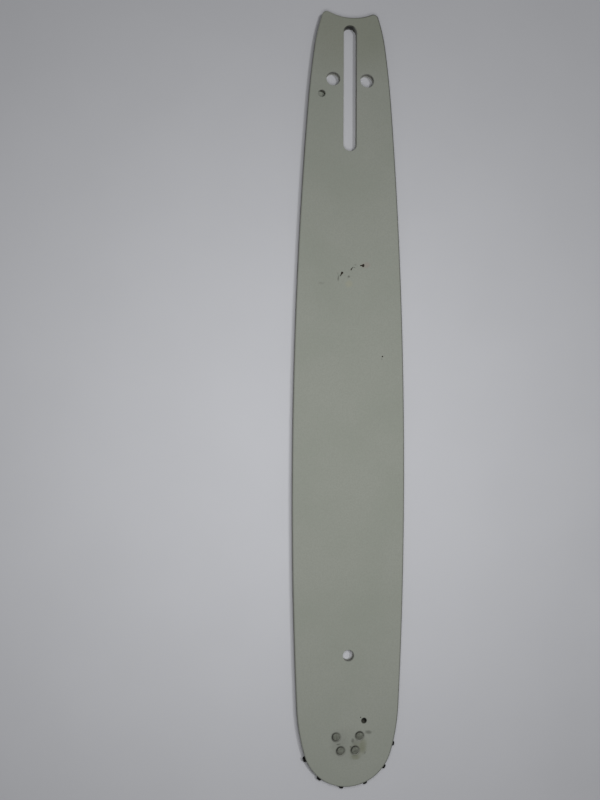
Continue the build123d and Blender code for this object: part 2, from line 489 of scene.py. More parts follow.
@dataclass(frozen=True)
class SetRivet(Finish):
    """Rivet steel, set cold: a dull grey head with press marks, and black dirt with painted shade round its
    rim.
    """

    head: str = "#6b6e65"
    worn: str = "#5a5c54"
    # Dark ring colour: dirt round the rim and painted shade in the gap there
    grime: str = "#1c1c17"
    mark_mm: float = 1.3
    mark_span: tuple[float, float] = (0.4, 0.6)
    ragged: float = 0.7  # how far the marks break up the rim's dirt and painted shade
    relief: float = 0.08
    relief_strength: float = 0.4

    def dress(self, tree: NodeTree, shader: Node, place: NodeSocket) -> None:
        """Link the head's press marks and its rim's dirt and painted shade to the shader.

        Args:
            tree: The material's nodes.
            shader: Its Principled shader.
            place: Object coordinates in millimetres.
        """
        noise = add_node(tree, "TexNoise", {"Vector": place, "Scale": 1 / self.mark_mm, "Detail": 3.0})
        marks = noise.outputs["Fac"]
        start, full = self.mark_span
        span = {"Value": marks, "From Min": start, "From Max": full}
        pressed = add_node(tree, "MapRange", span).outputs[0]
        layers = {SHARE: pressed, UNDER: linear(self.head), OVER: linear(self.worn)}
        colour = add_node(tree, "Mix", layers, data_type="RGBA").outputs[MIXED]
        # The rim's dark ring, dirt and painted shade in the gap round the head, broken up by the marks
        rim = add_node(tree, "Attribute", attribute_name="grime").outputs["Fac"]
        breaks = {0: marks, 1: self.ragged, 2: -NOISE_MIDDLE * self.ragged}
        ragged = add_node(tree, "Math", breaks, operation="MULTIPLY_ADD").outputs[0]
        dirt = add_node(tree, "Math", {0: rim, 1: ragged}, operation="ADD", use_clamp=True).outputs[0]
        rim_dirt_and_shade = add_node(tree, "Math", {0: dirt, 1: rim}, operation="MULTIPLY", use_clamp=True).outputs[0]
        layers = {SHARE: rim_dirt_and_shade, UNDER: colour, OVER: linear(self.grime)}
        colour = add_node(tree, "Mix", layers, data_type="RGBA").outputs[MIXED]
        tree.links.new(colour, shader.inputs["Base Color"])
        relief = {"Height": marks, "Strength": self.relief_strength, "Distance": self.relief * MM}
        tree.links.new(add_node(tree, "Bump", relief).outputs[0], shader.inputs["Normal"])


@dataclass(frozen=True)
class DriedDirt(Finish):
    """Sawdust and resin dried to a crumb: near black, brown where it is thin, with no gloss."""

    thick: str = "#191713"
    thin: str = "#38312a"
    lump_mm: float = 0.6
    relief: float = 0.1
    relief_strength: float = 0.8

    def dress(self, tree: NodeTree, shader: Node, place: NodeSocket) -> None:
        """Link the crumb's lumps to the shader.

        Args:
            tree: The material's nodes.
            shader: Its Principled shader.
            place: Object coordinates in millimetres.
        """
        noise = add_node(tree, "TexNoise", {"Vector": place, "Scale": 1 / self.lump_mm, "Detail": 3.0})
        lumps = noise.outputs["Fac"]
        layers = {SHARE: lumps, UNDER: linear(self.thick), OVER: linear(self.thin)}
        colour = add_node(tree, "Mix", layers, data_type="RGBA").outputs[MIXED]
        tree.links.new(colour, shader.inputs["Base Color"])
        relief = {"Height": lumps, "Strength": self.relief_strength, "Distance": self.relief * MM}
        tree.links.new(add_node(tree, "Bump", relief).outputs[0], shader.inputs["Normal"])


@dataclass(frozen=True)
class Paper(Finish):
    """Uncoated white paper under the bar: pale, a little blue, with a faint cloudiness of its fibres.

    Well away from the bar it fades to the backdrop's level where it is seen or mirrored, as a sweep does.
    """

    sheet: str = "#bcbdc1"
    cloud: str = "#b7b8bc"
    fibre_mm: float = 60.0  # of a cloud: single fibres are too fine to show
    backdrop: float = 0.45
    sweep_middle: tuple[float, float, float] = (196.0, -20.0, 0.0)
    sweep_span: tuple[float, float] = (290.0, 620.0)  # distance from its middle

    def dress(self, tree: NodeTree, shader: Node, place: NodeSocket) -> None:
        """Link the fibres' clouds to the shader, and fade it to the backdrop with the distance.

        Args:
            tree: The material's nodes.
            shader: Its Principled shader.
            place: Object coordinates in millimetres.
        """
        fibres = add_node(tree, "TexNoise", {"Vector": place, "Scale": 1 / self.fibre_mm, "Detail": 3.0})
        layers = {SHARE: fibres.outputs["Fac"], UNDER: linear(self.sheet), OVER: linear(self.cloud)}
        colour = add_node(tree, "Mix", layers, data_type="RGBA").outputs[MIXED]
        tree.links.new(colour, shader.inputs["Base Color"])
        away = add_node(tree, "VectorMath", {0: place, 1: self.sweep_middle}, operation="DISTANCE")
        start, full = self.sweep_span
        span = {"Value": away.outputs["Value"], "From Min": start, "From Max": full}
        sweep = add_node(tree, "MapRange", span, interpolation_type="SMOOTHSTEP").outputs[0]
        shares = {0: sweep, 1: seen_or_mirrored(tree)}
        fade = add_node(tree, "Math", shares, operation="MULTIPLY").outputs[0]
        glow = add_node(tree, "Emission", {"Strength": self.backdrop}).outputs[0]
        mixed = add_node(tree, "MixShader", {0: fade, 1: shader.outputs[0], 2: glow}).outputs[0]
        tree.links.new(mixed, tree.nodes["Material Output"].inputs["Surface"])


@dataclass(frozen=True)
class Arc:
    """A run of a circle of less than half a turn, from start to end round its centre."""

    centre: complex
    start: complex
    end: complex

    @property
    def radius(self) -> float:
        """Radius of the circle."""
        return abs(self.start - self.centre)

    @property
    def sweep(self) -> float:
        """Angle from start to end, in radians."""
        return float(np.angle((self.end - self.centre) / (self.start - self.centre)))

    def heading(self, heading: complex) -> complex:
        """Turn a heading at the start to the heading at the end."""
        return heading * complex(np.exp(1j * self.sweep))

    def reverse(self) -> "Arc":
        """Return the same run from end to start."""
        return Arc(self.centre, self.end, self.start)

    def inset(self, depth: float) -> "Arc":
        """Move the run to its left, where its circle keeps its centre.

        Args:
            depth: How far it moves.

        Returns:
            The moved run.
        """
        share = 1 - math.copysign(depth, self.sweep) / self.radius
        ends = (self.centre + (end - self.centre) * share for end in (self.start, self.end))
        return Arc(self.centre, *ends)

    def level(self, along: float) -> complex:
        """Return the circle's point on the +Y side at a distance along the bar."""
        return along + 1j * (self.centre.imag + math.sqrt(self.radius**2 - (along - self.centre.real) ** 2))

    def points(self, spacing: float, turn: float) -> np.ndarray:
        """Walk the arc: centre + (start - centre) * exp(i * sweep * t), without its last point.

        Args:
            spacing: Longest step along it.
            turn: Longest step round it, in radians.

        Returns:
            Points as complex numbers.
        """
        steps = math.ceil(max(abs(self.sweep) * self.radius / spacing, abs(self.sweep) / turn))
        share = np.arange(steps) / steps
        return self.centre + (self.start - self.centre) * np.exp(1j * self.sweep * share)


def arc_leaving(start: complex, heading: complex, end: complex) -> Arc:
    """Find the arc that leaves a point along a heading and ends at another point.

    Its centre lies square to the heading, as far off as the chord squared
    divided by twice the chord's share in that direction.

    Args:
        start: Where it starts.
        heading: Unit heading there.
        end: Where it ends.

    Returns:
        The arc.
    """
    normal, chord = heading * 1j, end - start
    return Arc(start + normal * abs(chord) ** 2 / (2 * (chord * normal.conjugate()).real), start, end)


def meeting(centre: complex, radius: float, other: complex, other_radius: float, near: complex) -> complex:
    """Find where two circles meet.

    Args:
        centre: Centre of the first circle.
        radius: Its radius.
        other: Centre of the second circle.
        other_radius: Its radius.
        near: The place that tells which of the two points is meant.

    Returns:
        The point nearest to that place.
    """
    gap = other - centre
    along = (radius**2 - other_radius**2 + abs(gap) ** 2) / (2 * abs(gap))
    square = 1j * math.sqrt(radius**2 - along**2)
    both = (centre + gap / abs(gap) * (along + side * square) for side in (1, -1))
    return min(both, key=lambda point: abs(point - near))


@dataclass(frozen=True)
class BarOutline:
    """Outlines of the bar's sheets: tangent arcs from the nose over the belly to the hollow tail.

    Both sides of X are alike, so only the +Y side is worked out.
    """

    nose_axis: float
    slot_half: float
    bar_width: float = 69.2
    belly_from_nose_axis: float = 160.0
    nose_radius: float = 27.5
    neck_from_nose_axis: float = 20.0
    neck_fullness: float = 0.514
    shoulder_width: float = 52.4
    shoulder_from_slot: float = 11.4
    hip_behind_slot: float = 26.2
    hip_fullness: float = 0.59
    tail_width: float = 33.1
    tail_hollow_radius: float = 32.2
    tail_corner_radius: float = 3.2
    tail_wall: float = 5.2
    groove_depth: float = 7.0
    pocket_radius: float = 30.2
    spacing: float = 0.9  # longest step along an arc
    turn: float = math.radians(4)  # longest step round it

    @property
    def belly(self) -> complex:
        """Widest point of the rail, where it runs along X."""
        return self.nose_axis - self.belly_from_nose_axis + 1j * self.bar_width / 2

    def nose_arcs(self) -> list[Arc]:
        """Find the rail's arcs from the nose's tip back to the belly.

        The blend leaves the front flank at the neck, and its centre is as far from the nose's axis
        as its radius less the nose's, so the two circles touch.

        Returns:
            Nose, nose blend and front flank.
        """
        neck_half = self.nose_radius + self.neck_fullness * (self.bar_width / 2 - self.nose_radius)
        neck = self.nose_axis - self.neck_from_nose_axis + 1j * neck_half
        front_flank = arc_leaving(self.belly, 1, neck)
        inward = -1j * front_flank.heading(1)
        reach = neck - self.nose_axis
        touching = 2 * ((reach * inward.conjugate()).real + self.nose_radius)
        blend_centre = neck + inward * (self.nose_radius**2 - abs(reach) ** 2) / touching
        away = self.nose_axis - blend_centre
        nose_joint = self.nose_axis + away / abs(away) * self.nose_radius
        return [
            Arc(self.nose_axis, self.nose_axis + self.nose_radius, nose_joint),
            Arc(blend_centre, nose_joint, neck),
            front_flank.reverse(),
        ]

    def tail_arcs(self) -> list[Arc]:
        """Find the rail's arcs from the belly back to the bottom of the tail's hollow.

        Each of the first three leaves the one before it without a kink. The corner's centre is its own
        radius away from the horn's circle and from the hollow's, so it touches both.

        Returns:
            Rear flank, hip, horn, horn's corner and hollow.
        """
        tail_half = self.tail_width / 2
        hip_half = tail_half + self.hip_fullness * (self.shoulder_width / 2 - tail_half)
        shoulder = self.shoulder_from_slot + 1j * self.shoulder_width / 2
        hip = -self.hip_behind_slot + 1j * hip_half
        hollow_bottom = complex(-self.slot_half - self.tail_wall)
        hollow = hollow_bottom - self.tail_hollow_radius
        tail_corner = hollow + math.sqrt(self.tail_hollow_radius**2 - tail_half**2) + 1j * tail_half
        rear_flank = arc_leaving(self.belly, -1, shoulder)
        hip_flank = arc_leaving(shoulder, rear_flank.heading(-1), hip)
        horn = arc_leaving(hip, hip_flank.heading(rear_flank.heading(-1)), tail_corner)
        corner = meeting(
            horn.centre,
            horn.radius - self.tail_corner_radius,
            hollow,
            self.tail_hollow_radius + self.tail_corner_radius,
            tail_corner,
        )
        horn_side = horn.centre + (corner - horn.centre) / abs(corner - horn.centre) * horn.radius
        hollow_side = hollow + (corner - hollow) / abs(corner - hollow) * self.tail_hollow_radius
        return [
            rear_flank,
            hip_flank,
            Arc(horn.centre, hip, horn_side),
            Arc(corner, horn_side, hollow_side),
            Arc(hollow, hollow_side, hollow_bottom),
        ]

    def rail_arcs(self) -> list[Arc]:
        """Find all arcs of the rail, from the nose's tip to the bottom of the tail's hollow."""
        return [*self.nose_arcs(), *self.tail_arcs()]

    def core_arcs(self, notch: complex, notch_radius: float) -> list[Arc]:
        """Find the arcs of the core, from the sprocket's pocket to the tail's hollow.

        Args:
            notch: Middle of the oil notch, which is open to the groove.
            notch_radius: Its radius.

        Returns:
            The pocket, the rail's arcs moved in by the groove's depth with the notch among them,
            and the hollow.
        """
        _, blend, front_flank, rear_flank, hip_flank, horn, _, hollow = self.rail_arcs()
        blend, hip_flank, horn = (arc.inset(self.groove_depth) for arc in (blend, hip_flank, horn))
        pocket_end = meeting(self.nose_axis, self.pocket_radius, blend.centre, blend.radius, blend.end)
        horn_end = meeting(horn.centre, horn.radius, hollow.centre, hollow.radius, horn.end)
        ahead, behind, bottom = notch + notch_radius, notch - notch_radius, notch - 1j * notch_radius
        return [
            Arc(self.nose_axis, self.nose_axis - self.pocket_radius, pocket_end),
            Arc(blend.centre, pocket_end, blend.end),
            front_flank.inset(self.groove_depth),
            rear_flank.inset(self.groove_depth),
            Arc(hip_flank.centre, hip_flank.start, hip_flank.level(ahead.real)),
            Arc(notch, ahead, bottom),
            Arc(notch, bottom, behind),
            Arc(hip_flank.centre, hip_flank.level(behind.real), hip_flank.end),
            Arc(horn.centre, horn.start, horn_end),
            Arc(hollow.centre, horn_end, hollow.end),
        ]

    def walk(self, arcs: Sequence[Arc]) -> np.ndarray:
        """Walk the arcs and their mirror image, with the steel on the left.

        Args:
            arcs: Arcs of the +Y side, which start and end on the middle line.

        Returns:
            Points of the closed loop as complex numbers.
        """
        half = np.concatenate([arc.points(self.spacing, self.turn) for arc in arcs] + [[arcs[-1].end]])
        return np.concatenate([half, half[-2:0:-1].conj()])


@dataclass(frozen=True)
class Edge:
    """A closed edge of a sheet, with the steel on its left: its rounding or countersink, and its dirt and
    painted shade.

    The halo is the share of the dirt and painted shade that creeps out on the face, and the foot the share
    that runs down the wall.
    """

    points: np.ndarray
    rounding: float
    grime: np.ndarray
    halo: float
    foot: float
    countersunk: bool = False


@dataclass(frozen=True)
class Hole:
    """A round hole, or a slot with round ends along X, and how its edge looks.

    The dark dirt and painted shade grow towards the heavy side by up to the length of that vector.
    """

    centre: complex
    radius: float
    rounding: float = 0.15
    grime: float = 0.2
    heavy: complex = 0j
    halo: float = 0.0
    foot: float = 0.5
    run: float = 0.0  # from the middle of a slot to the middle of its round end
    countersunk: bool = False
    turn: float = math.radians(4)  # longest step round an end
    spacing: float = 1.8  # longest step along a slot's side

    def edge(self) -> Edge:
        """Walk the edge clockwise, so that the steel is on its left.

        Returns:
            The edge.
        """
        bend = np.linspace(np.pi / 2, -np.pi / 2, math.ceil(np.pi / self.turn) + 1)
        nose_end = self.run + self.radius * np.exp(1j * bend)
        steps = math.ceil(2 * self.run / self.spacing) if self.run else 0
        straight = np.linspace(self.run, -self.run, steps + 1)[1:-1] - 1j * self.radius
        half = np.concatenate([nose_end, straight]) if self.run else nose_end[:-1]
        offset = np.concatenate([half, -half])
        outward = (offset - np.clip(offset.real, -self.run, self.run)) / self.radius
        # Dirt and painted shade on the edge, more towards the heavy side
        grime = np.clip(self.grime + (outward * np.conj(self.heavy)).real, 0, 1)
        return Edge(self.centre + offset, self.rounding, grime, self.halo, self.foot, self.countersunk)

    def gap(self, places: np.ndarray) -> np.ndarray:
        """Distance from the hole's edge to each place, below zero inside the hole."""
        offset = places - self.centre
        return abs(offset - np.clip(offset.real, -self.run, self.run)) - self.radius


@dataclass
class Sheet:
    """A flat sheet between a rim and its holes, as a closed mesh with worked edges.

    Round each edge, flat rings lie at the flat reaches from it and have the flat shares of its halo.
    """

    rim: Edge
    holes: Sequence[Hole]
    inner: np.ndarray
    top: float
    thickness: float
    flat_reach: tuple[float, ...] = ()
    flat_share: tuple[float, ...] = ()
    round_steps: int = 5

    def rings(
        self, edges: Sequence[Edge], following: np.ndarray
    ) -> tuple[np.ndarray, np.ndarray, np.ndarray]:
        """Carry each edge's profile along its loop.

        The profile is flat rings for the grime's falloff, then a quarter round with inset r (1 - sin a)
        and drop r (1 - cos a), or a countersink with inset r (1 - t) and drop r t, then the wall.

        Args:
            edges: The rim, then the edges of the holes.
            following: For each point of the edges, the number of the next one round its loop.

        Returns:
            Points as complex numbers, their drop below the face and their dirt and painted shade, by ring
            and by point.
        """
        sizes = [len(edge.points) for edge in edges]
        rounding = np.repeat([edge.rounding for edge in edges], sizes)
        countersunk = np.repeat([edge.countersunk for edge in edges], sizes)
        halo = np.repeat([edge.halo for edge in edges], sizes)
        foot = np.repeat([edge.foot for edge in edges], sizes)
        grime = np.concatenate([edge.grime for edge in edges])
        line = np.concatenate([edge.points for edge in edges])
        before = np.empty_like(following)
        before[following] = np.arange(len(line))
        tangent = line[following] - line[before]
        outward = -1j * tangent / abs(tangent)

        share = np.linspace(0, 1, self.round_steps)
        angle = share[:, None] * np.pi / 2
        one = np.ones((1, len(line)))
        flat = np.outer(self.flat_reach, one) + rounding
        turned_in = np.where(countersunk, 1 - share[:, None], 1 - np.sin(angle)) * rounding
        turned_down = np.where(countersunk, share[:, None], 1 - np.cos(angle)) * rounding
        inset = np.concatenate([flat, turned_in, one * 0])
        drop = np.concatenate([flat * 0, turned_down, one * self.thickness])
        wall_share = 1 - np.outer(np.append(np.sin(share * np.pi / 2), 1), 1 - foot)
        ring_grime_and_shade = np.concatenate([np.outer(self.flat_share, grime * halo), wall_share * grime])
        return line - outward * inset, drop, ring_grime_and_shade

    def triangulate(self, points: np.ndarray, borders: np.ndarray, loop: np.ndarray) -> np.ndarray:
        """Fill the face between its loops with triangles.

        A triangle whose corners all lie on one hole's loop is inside that hole, so it is left out.

        Args:
            points: Points of the loops, then the inner points.
            borders: Pairs of point numbers that the loops run along.
            loop: Number of each point's hole, or zero.

        Returns:
            Triangles seen anticlockwise from the front.
        """
        places = np.stack([points.real, points.imag], axis=1).tolist()
        inside_only, merged_below = 1, 1e-6
        filled = delaunay_2d_cdt(places, borders.tolist(), [], inside_only, merged_below)
        _, _, found, sources, _, _ = filled
        origin = np.array([source[0] for source in sources])
        triangles = origin[np.array(found)]
        corners = points[triangles]
        turned = ((corners[:, 1] - corners[:, 0]).conj() * (corners[:, 2] - corners[:, 0])).imag < 0
        triangles[turned] = triangles[turned][:, ::-1]
        owner = loop[triangles]
        filling = (owner[:, 0] > 0) & (owner[:, 0] == owner[:, 1]) & (owner[:, 0] == owner[:, 2])
        return triangles[~filling]

    def build(self, name: str, turned_over: float | None = None) -> Object:
        """Build the sheet's mesh: worked edges, and one triangulation between them for both faces.

        Args:
            name: The piece's name.
            turned_over: Thickness of the bar, to turn the sheet over in it by half a turn about X, or None.

        Returns:
            The piece.
        """
        edges = [self.rim] + [hole.edge() for hole in self.holes]
        sizes = [len(edge.points) for edge in edges]
        ends = np.cumsum(sizes)
        total, inner = ends[-1], len(self.inner)
        here = np.arange(total)
        following = here + 1
        following[ends - 1] = ends - sizes
        rings, drop, grime = self.rings(edges, following)
        loop = np.concatenate([np.repeat(np.arange(len(edges)), sizes), np.zeros(inner, int)])
        borders = np.stack([here, following], axis=1)
        triangles = self.triangulate(np.concatenate([rings[0], self.inner]), borders, loop)

        ring_vertices = np.stack([rings.real, rings.imag, self.top - drop], axis=-1).reshape(-1, 3)
        upper_face = np.stack([self.inner.real, self.inner.imag, np.full(inner, self.top)], axis=1)
        vertices = np.concatenate([ring_vertices, upper_face, upper_face - [0, 0, self.thickness]])
        walls = ring_quads(len(rings), following)
        inside = triangles >= total
        upper = np.where(inside, triangles - total + len(rings) * total, triangles)
        lower = np.where(inside, upper + inner, triangles + (len(rings) - 1) * total)[:, ::-1]
        if turned_over is not None:
            vertices = vertices * [1, -1, -1] + [0, 0, turned_over]
        flat_rows = len(self.flat_reach)
        return new_piece(
            name,
            vertices,
            [upper, walls[:flat_rows].reshape(-1, 4), walls[flat_rows:].reshape(-1, 4), lower],
            [False, False, True, False],
            {
                "depth_mm": np.concatenate([drop.ravel(), np.zeros(2 * inner)]),
                "grime": np.concatenate([grime.ravel(), np.zeros(2 * inner)]),
            },
        )


@dataclass
class SidePlates:
    """The two outer sheets, with rounded rails, punched holes and rivet seats.

    The +Y rail gets more painted shade and the other one less, by the lean at the tail and at the nose.
    Along both, the dark line is partly dirt and partly painted shade.
    """

    outline: BarOutline
    holes: Sequence[Hole]
    finishes: Mapping[Side, BlastedSheet]
    thickness: float
    bar_thickness: float
    rail_rounding: float = 0.3
    # The rail's dark line is partly oily dirt and partly painted shade of the edge; the lean paints the +Y
    # rail darker as shade
    rail_grime_and_shade: float = 0.53
    rail_shade_lean: tuple[float, float] = (0.33, 0.12)
    lean_over: float = 12.0  # how far from the middle line the lean is full
    rail_halo: float = 0.3
    rail_foot: float = 0.9
    grime_and_shade_reach: tuple[float, float] = (0.9, 0.35)
    grime_and_shade_share: tuple[float, float] = (0.0, 0.4)
    mesh_step: float = 3.2
    mesh_clear: float = 0.35  # how much of a step stays free beside an edge

    def inner_points(self, rail: np.ndarray) -> np.ndarray:
        """Lay the corners of even triangles over the face, clear of its edges.

        Args:
            rail: Points of the outline.

        Returns:
            Points as complex numbers.
        """
        half_width, row_step = self.outline.bar_width / 2, self.mesh_step * math.sqrt(0.75)
        along = np.arange(rail.real.min(), rail.real.max(), self.mesh_step)
        across = np.arange(-half_width, half_width, row_step)
        shift = (np.arange(len(across)) % 2) * self.mesh_step / 2
        grid = (along[:, None] + shift + 1j * across).ravel()
        half = rail[: len(rail) // 2 + 1]
        order = np.argsort(half.real)
        grid = grid[abs(grid.imag) < np.interp(grid.real, half.real[order], half.imag[order])]
        hollow = self.outline.rail_arcs()[-1]
        grid = grid[abs(grid - hollow.centre) > hollow.radius]
        clear = self.rail_rounding + self.grime_and_shade_reach[0] + self.mesh_step * self.mesh_clear
        grid = grid[abs(grid[:, None] - rail).min(axis=1) > clear]
        return grid[np.min([hole.gap(grid) - hole.rounding for hole in self.holes], axis=0) > clear]

    def build(self) -> list[Object]:
        """Build both sheets and dress them. The back one is the front one, turned over about X.

        Returns:
            The pieces.
        """
        rail = self.outline.walk(self.outline.rail_arcs())
        # Painted shade along the rails, heavier on the +Y side, over the edges' dirt
        lean = np.interp(rail.real, [rail.real.min(), rail.real.max()], self.rail_shade_lean)
        grime = self.rail_grime_and_shade + lean * np.clip(rail.imag / self.lean_over, -1, 1)
        sheet = Sheet(
            Edge(rail, self.rail_rounding, grime, self.rail_halo, self.rail_foot),
            self.holes,
            self.inner_points(rail),
            self.bar_thickness,
            self.thickness,
            self.grime_and_shade_reach,
            self.grime_and_shade_share,
        )
        pieces = []
        for side, finish in self.finishes.items():
            piece = sheet.build(f"{side.value}_sheet", self.bar_thickness if side is Side.BACK else None)
            piece.data.materials.append(finish.material())
            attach(piece, BAR_BODY)
            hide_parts(side.value)
            pieces.append(piece)
        return pieces


@dataclass
class CorePlate:
    """The middle sheet: narrower by the groove, open round the sprocket and notched at the oil holes."""

    outline: BarOutline
    holes: Sequence[Hole]
    oil_hole: Hole
    finish: OilySteel
    top: float
    thickness: float
    rounding: float = 0.04

    def build(self) -> Object:
        """Build the sheet and dress it.

        Returns:
            The piece.
        """
        notch, notch_radius = self.oil_hole.centre.conjugate(), self.oil_hole.radius
        rim = self.outline.walk(self.outline.core_arcs(notch, notch_radius))
        edge = Edge(rim, self.rounding, grime=np.zeros(len(rim)), halo=0.0, foot=0.0)
        no_points = np.zeros(0, complex)
        sheet = Sheet(edge, self.holes, no_points, self.top, self.thickness, round_steps=2)
        piece = sheet.build("core_sheet")
        piece.data.materials.append(self.finish.material())
        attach(piece, BAR_BODY)
        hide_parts("core_plate")
        return piece


@dataclass
class NoseRivets:
    """The set rivets round the nose bearing: domed heads in countersinks, with dark dirt and painted shade
    round them.
    """

    axis: float
    bar_thickness: float
    finish: SetRivet
    circle: float = 7.53
    angles: tuple[float, ...] = (-108.0, -36.0, 36.0, 108.0)
    heavy_angles: tuple[float, ...] = (-80.0, -135.0, -130.0, -160.0)  # where each rivet has most dirt and painted shade
    shank_radius: float = 2.3
    head_radius: float = 2.1
    front_head: tuple[float, float] = (0.22, 0.36)  # its middle above the face, and the dome's rise
    back_head: tuple[float, float] = (-0.02, 0.2)
    rim_radius: float = 2.5
    rim_drop: float = 0.2
    rim_grime_and_shade_from: float = 0.88  # of the head's radius
    hole_radius: float = 2.33
    countersink: float = 0.4
    clearance: float = 0.03
    # Dirt and painted shade in the countersinks round the heads
    grime: float = 0.7
    heavy: float = 0.34
    seat_halo: float = 0.5
    steps: int = 72
    dome_points: int = 9
    rim_points: int = 6

    def centres(self) -> np.ndarray:
        """Middles of the rivets, as complex numbers."""
        return self.axis + self.circle * np.exp(1j * np.radians(self.angles))

    def seats(self) -> list[Hole]:
        """Countersunk holes in the side plates that the heads sit in.

        Returns:
            One hole for each rivet.
        """
        heavy = self.heavy * np.exp(1j * np.radians(self.heavy_angles))
        return [
            Hole(
                complex(centre),
                self.hole_radius,
                self.countersink,
                self.grime,
                complex(side),
                self.seat_halo,
                countersunk=True,
            )
            for centre, side in zip(self.centres(), heavy)
        ]

    def head_profile(self, middle: float, rise: float) -> np.ndarray:
        """Work out a head's section from its middle to the shank.

        The dome is z = middle - rise (r / head)^2, the rim a quarter round down to the countersink,
        and the cone runs in from there to the shank.

        Args:
            middle: Height of its middle above the plate's face.
            rise: Height of the dome.

        Returns:
            Rows of radius, height above the face, and grime.
        """
        radius = np.linspace(0, self.head_radius, self.dome_points)
        dome = middle - rise * (radius / self.head_radius) ** 2
        angle = np.linspace(0, np.pi / 2, self.rim_points)[1:]
        rim_reach = self.head_radius + (self.rim_radius - self.head_radius) * np.sin(angle)
        rim_height = dome[-1] - self.rim_drop * (1 - np.cos(angle))
        cone_foot = [[self.shank_radius, -self.countersink - self.clearance]]
        head, rim = np.column_stack([radius, dome]), np.column_stack([rim_reach, rim_height])
        rows = np.concatenate([head, rim, cone_foot])
        past = rows[:, 0] / self.head_radius - self.rim_grime_and_shade_from
        return np.column_stack([rows, np.clip(past / (1 - self.rim_grime_and_shade_from), 0, 1)])

    def build(self) -> Object:
        """Build all rivets as one piece and dress it.

        Returns:
            The piece.
        """
        front = self.head_profile(*self.front_head)
        back = self.head_profile(*self.back_head)[::-1]
        front_rows = np.column_stack([front[:, 0], self.bar_thickness + front[:, 1]])
        back_rows = np.column_stack([back[:, 0], -back[:, 1]])
        vertices, fans, quads = closed_lathe(np.concatenate([front_rows, back_rows]), self.steps)
        middles = self.centres()
        places = np.stack([middles.real, middles.imag, np.zeros(len(middles))], axis=1)
        copies, faces = repeated(vertices + places[:, None, :], [fans, quads])
        # Dirt and painted shade round each rim, heaviest towards its heavy angle
        ring_grime_and_shade = np.concatenate([front[1:, 2], back[:-1, 2]])
        turn = np.arange(self.steps) * 2 * np.pi / self.steps - np.radians(self.heavy_angles)[:, None]
        uneven = np.clip(self.grime + self.heavy * np.cos(turn), 0, 1)
        grime = (ring_grime_and_shade[:, None] * uneven[:, None, :]).reshape(len(middles), -1)
        clean_poles = ((0, 0), (0, 2))
        grime = np.pad(grime, clean_poles).ravel()
        piece = new_piece("set_rivets", copies, faces, [True, True], {"grime": grime})
        piece.data.materials.append(self.finish.material())
        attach(piece, BAR_BODY)
        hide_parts("nose_rivets")
        return piece


@dataclass(frozen=True)
class Crumb:
    """A crumb of dirt on the front face: its middle, its half sizes, its height and how it is turned."""

    along: float
    across: float
    half_length: float
    half_width: float
    height: float
    turn: float = 0.0


@dataclass
class DirtCrumbs:
    """Crumbs of dried dirt stuck to the front face."""

    bar_thickness: float
    crumbs: Sequence[Crumb]
    finish: DriedDirt
    foot: float = 0.97  # width of a crumb's foot, by its own
    sunk: float = 0.1  # how far a crumb goes into the face, by its height
    swell: tuple[float, float] = (0.1, 0.06)
    swell_phase: float = 1.7  # from one crumb to the next, in radians
    arch_points: int = 6
    steps: int = 28

    def build(self) -> Object:
        """Build the crumbs: flat-footed lenses, swelled by cosines of twice and three times the angle.

        Returns:
            The piece.
        """
        arch = np.linspace(0, np.pi / 2, self.arch_points)
        lens = np.stack([np.sin(arch), np.cos(arch)], axis=1)
        profile = np.concatenate([lens, [[self.foot, -self.sunk], [0, -self.sunk]]])
        vertices, fans, quads = closed_lathe(profile, self.steps)
        sizes = np.array([astuple(crumb) for crumb in self.crumbs])
        along, across, length, width, height, turn = sizes.T[:, :, None]
        phase = np.arange(len(sizes))[:, None] * self.swell_phase
        angle = np.arctan2(vertices[:, 1], vertices[:, 0])
        twice, thrice = self.swell
        swell = 1 + twice * np.cos(2 * angle + phase) + thrice * np.cos(3 * angle - 2 * phase)
        unturned = (vertices[:, 0] * length + 1j * vertices[:, 1] * width) * swell
        flat = unturned * np.exp(1j * np.radians(turn))
        lift = self.bar_thickness + vertices[:, 2] * height
        places = np.stack([along + flat.real, across + flat.imag, lift], axis=-1)
        copies, faces = repeated(places, [fans, quads])
        piece = new_piece("dirt_crumbs", copies, faces, [True, True])
        piece.data.materials.append(self.finish.material())
        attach(piece, BAR_BODY)
        return piece


